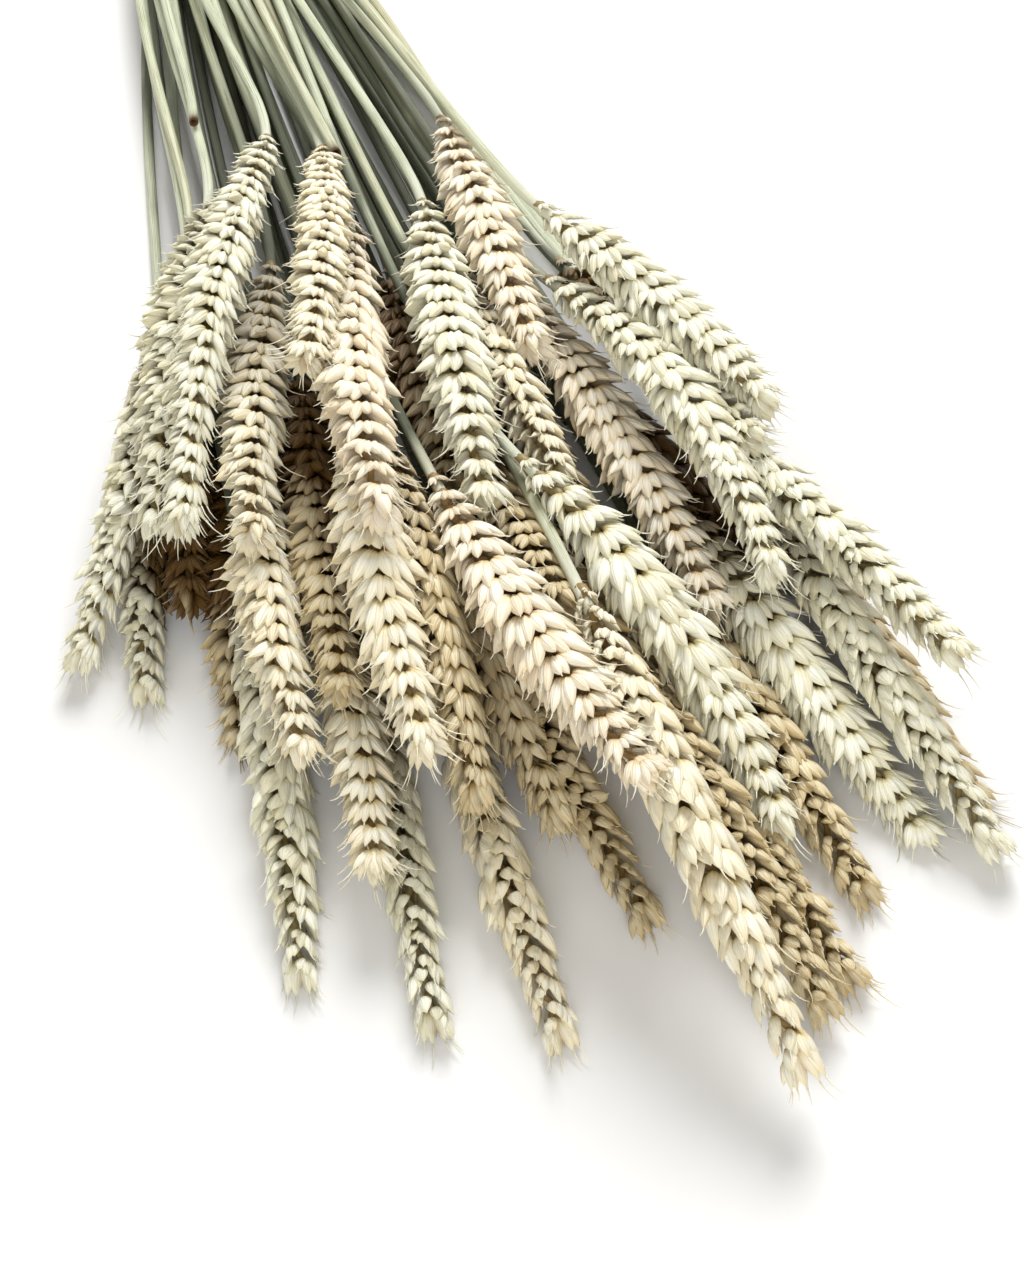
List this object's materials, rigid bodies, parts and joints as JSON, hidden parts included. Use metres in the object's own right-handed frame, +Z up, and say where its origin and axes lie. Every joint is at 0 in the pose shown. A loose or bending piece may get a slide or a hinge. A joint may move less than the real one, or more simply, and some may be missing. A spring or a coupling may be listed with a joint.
{
  "type": "bundle of dried wheat",
  "caption": "Dried wheat tied with raffia and lying on its side: long straw stems drawn together near their cut ends, heavy ears fanned out and piled at the other end.",
  "frame": {"origin": "middle of the bundle's underside, on the surface it lies on", "axes": "+Z up, +Y along the stems towards their cut ends, so that the ears point to -Y, +X across the fan"},
  "size_m": [0.167, 0.545, 0.0517],
  "materials": {
    "wheat_straw": "matt dry straw: cream husks with a soft sheen on their ribs, tan in the creases, and grey-green stems with fine lengthwise streaks",
    "raffia": "matt tan raffia with fine lengthwise fibres"
  },
  "bodies": {
    "root": {"wheat_stalk_01": "wheat_straw", "wheat_stalk_02": "wheat_straw", "wheat_stalk_03": "wheat_straw", "wheat_stalk_04": "wheat_straw", "wheat_stalk_05": "wheat_straw", "wheat_stalk_06": "wheat_straw", "bare_stem_07": "wheat_straw", "bare_stem_08": "wheat_straw", "wheat_stalk_09": "wheat_straw", "wheat_stalk_10": "wheat_straw", "wheat_stalk_11": "wheat_straw", "wheat_stalk_12": "wheat_straw", "wheat_stalk_13": "wheat_straw", "wheat_stalk_14": "wheat_straw", "wheat_stalk_15": "wheat_straw", "bare_stem_16": "wheat_straw", "bare_stem_17": "wheat_straw", "wheat_stalk_18": "wheat_straw", "wheat_stalk_19": "wheat_straw", "wheat_stalk_20": "wheat_straw", "wheat_stalk_21": "wheat_straw", "wheat_stalk_22": "wheat_straw", "wheat_stalk_23": "wheat_straw", "wheat_stalk_24": "wheat_straw", "wheat_stalk_25": "wheat_straw", "bare_stem_26": "wheat_straw", "bare_stem_27": "wheat_straw", "wheat_stalk_28": "wheat_straw", "wheat_stalk_29": "wheat_straw", "wheat_stalk_30": "wheat_straw", "wheat_stalk_31": "wheat_straw", "wheat_stalk_32": "wheat_straw", "wheat_stalk_33": "wheat_straw", "wheat_stalk_34": "wheat_straw", "wheat_stalk_35": "wheat_straw", "bare_stem_36": "wheat_straw", "bare_stem_37": "wheat_straw", "bare_stem_38": "wheat_straw", "wheat_stalk_39": "wheat_straw", "wheat_stalk_40": "wheat_straw", "wheat_stalk_41": "wheat_straw", "wheat_stalk_42": "wheat_straw", "wheat_stalk_43": "wheat_straw", "wheat_stalk_44": "wheat_straw", "wheat_stalk_45": "wheat_straw", "bare_stem_46": "wheat_straw", "wheat_stalk_47": "wheat_straw", "wheat_stalk_48": "wheat_straw", "wheat_stalk_49": "wheat_straw", "wheat_stalk_50": "wheat_straw", "wheat_stalk_51": "wheat_straw", "wheat_stalk_52": "wheat_straw", "bare_stem_53": "wheat_straw", "raffia_tie": "raffia"}
  },
  "joints": []
}
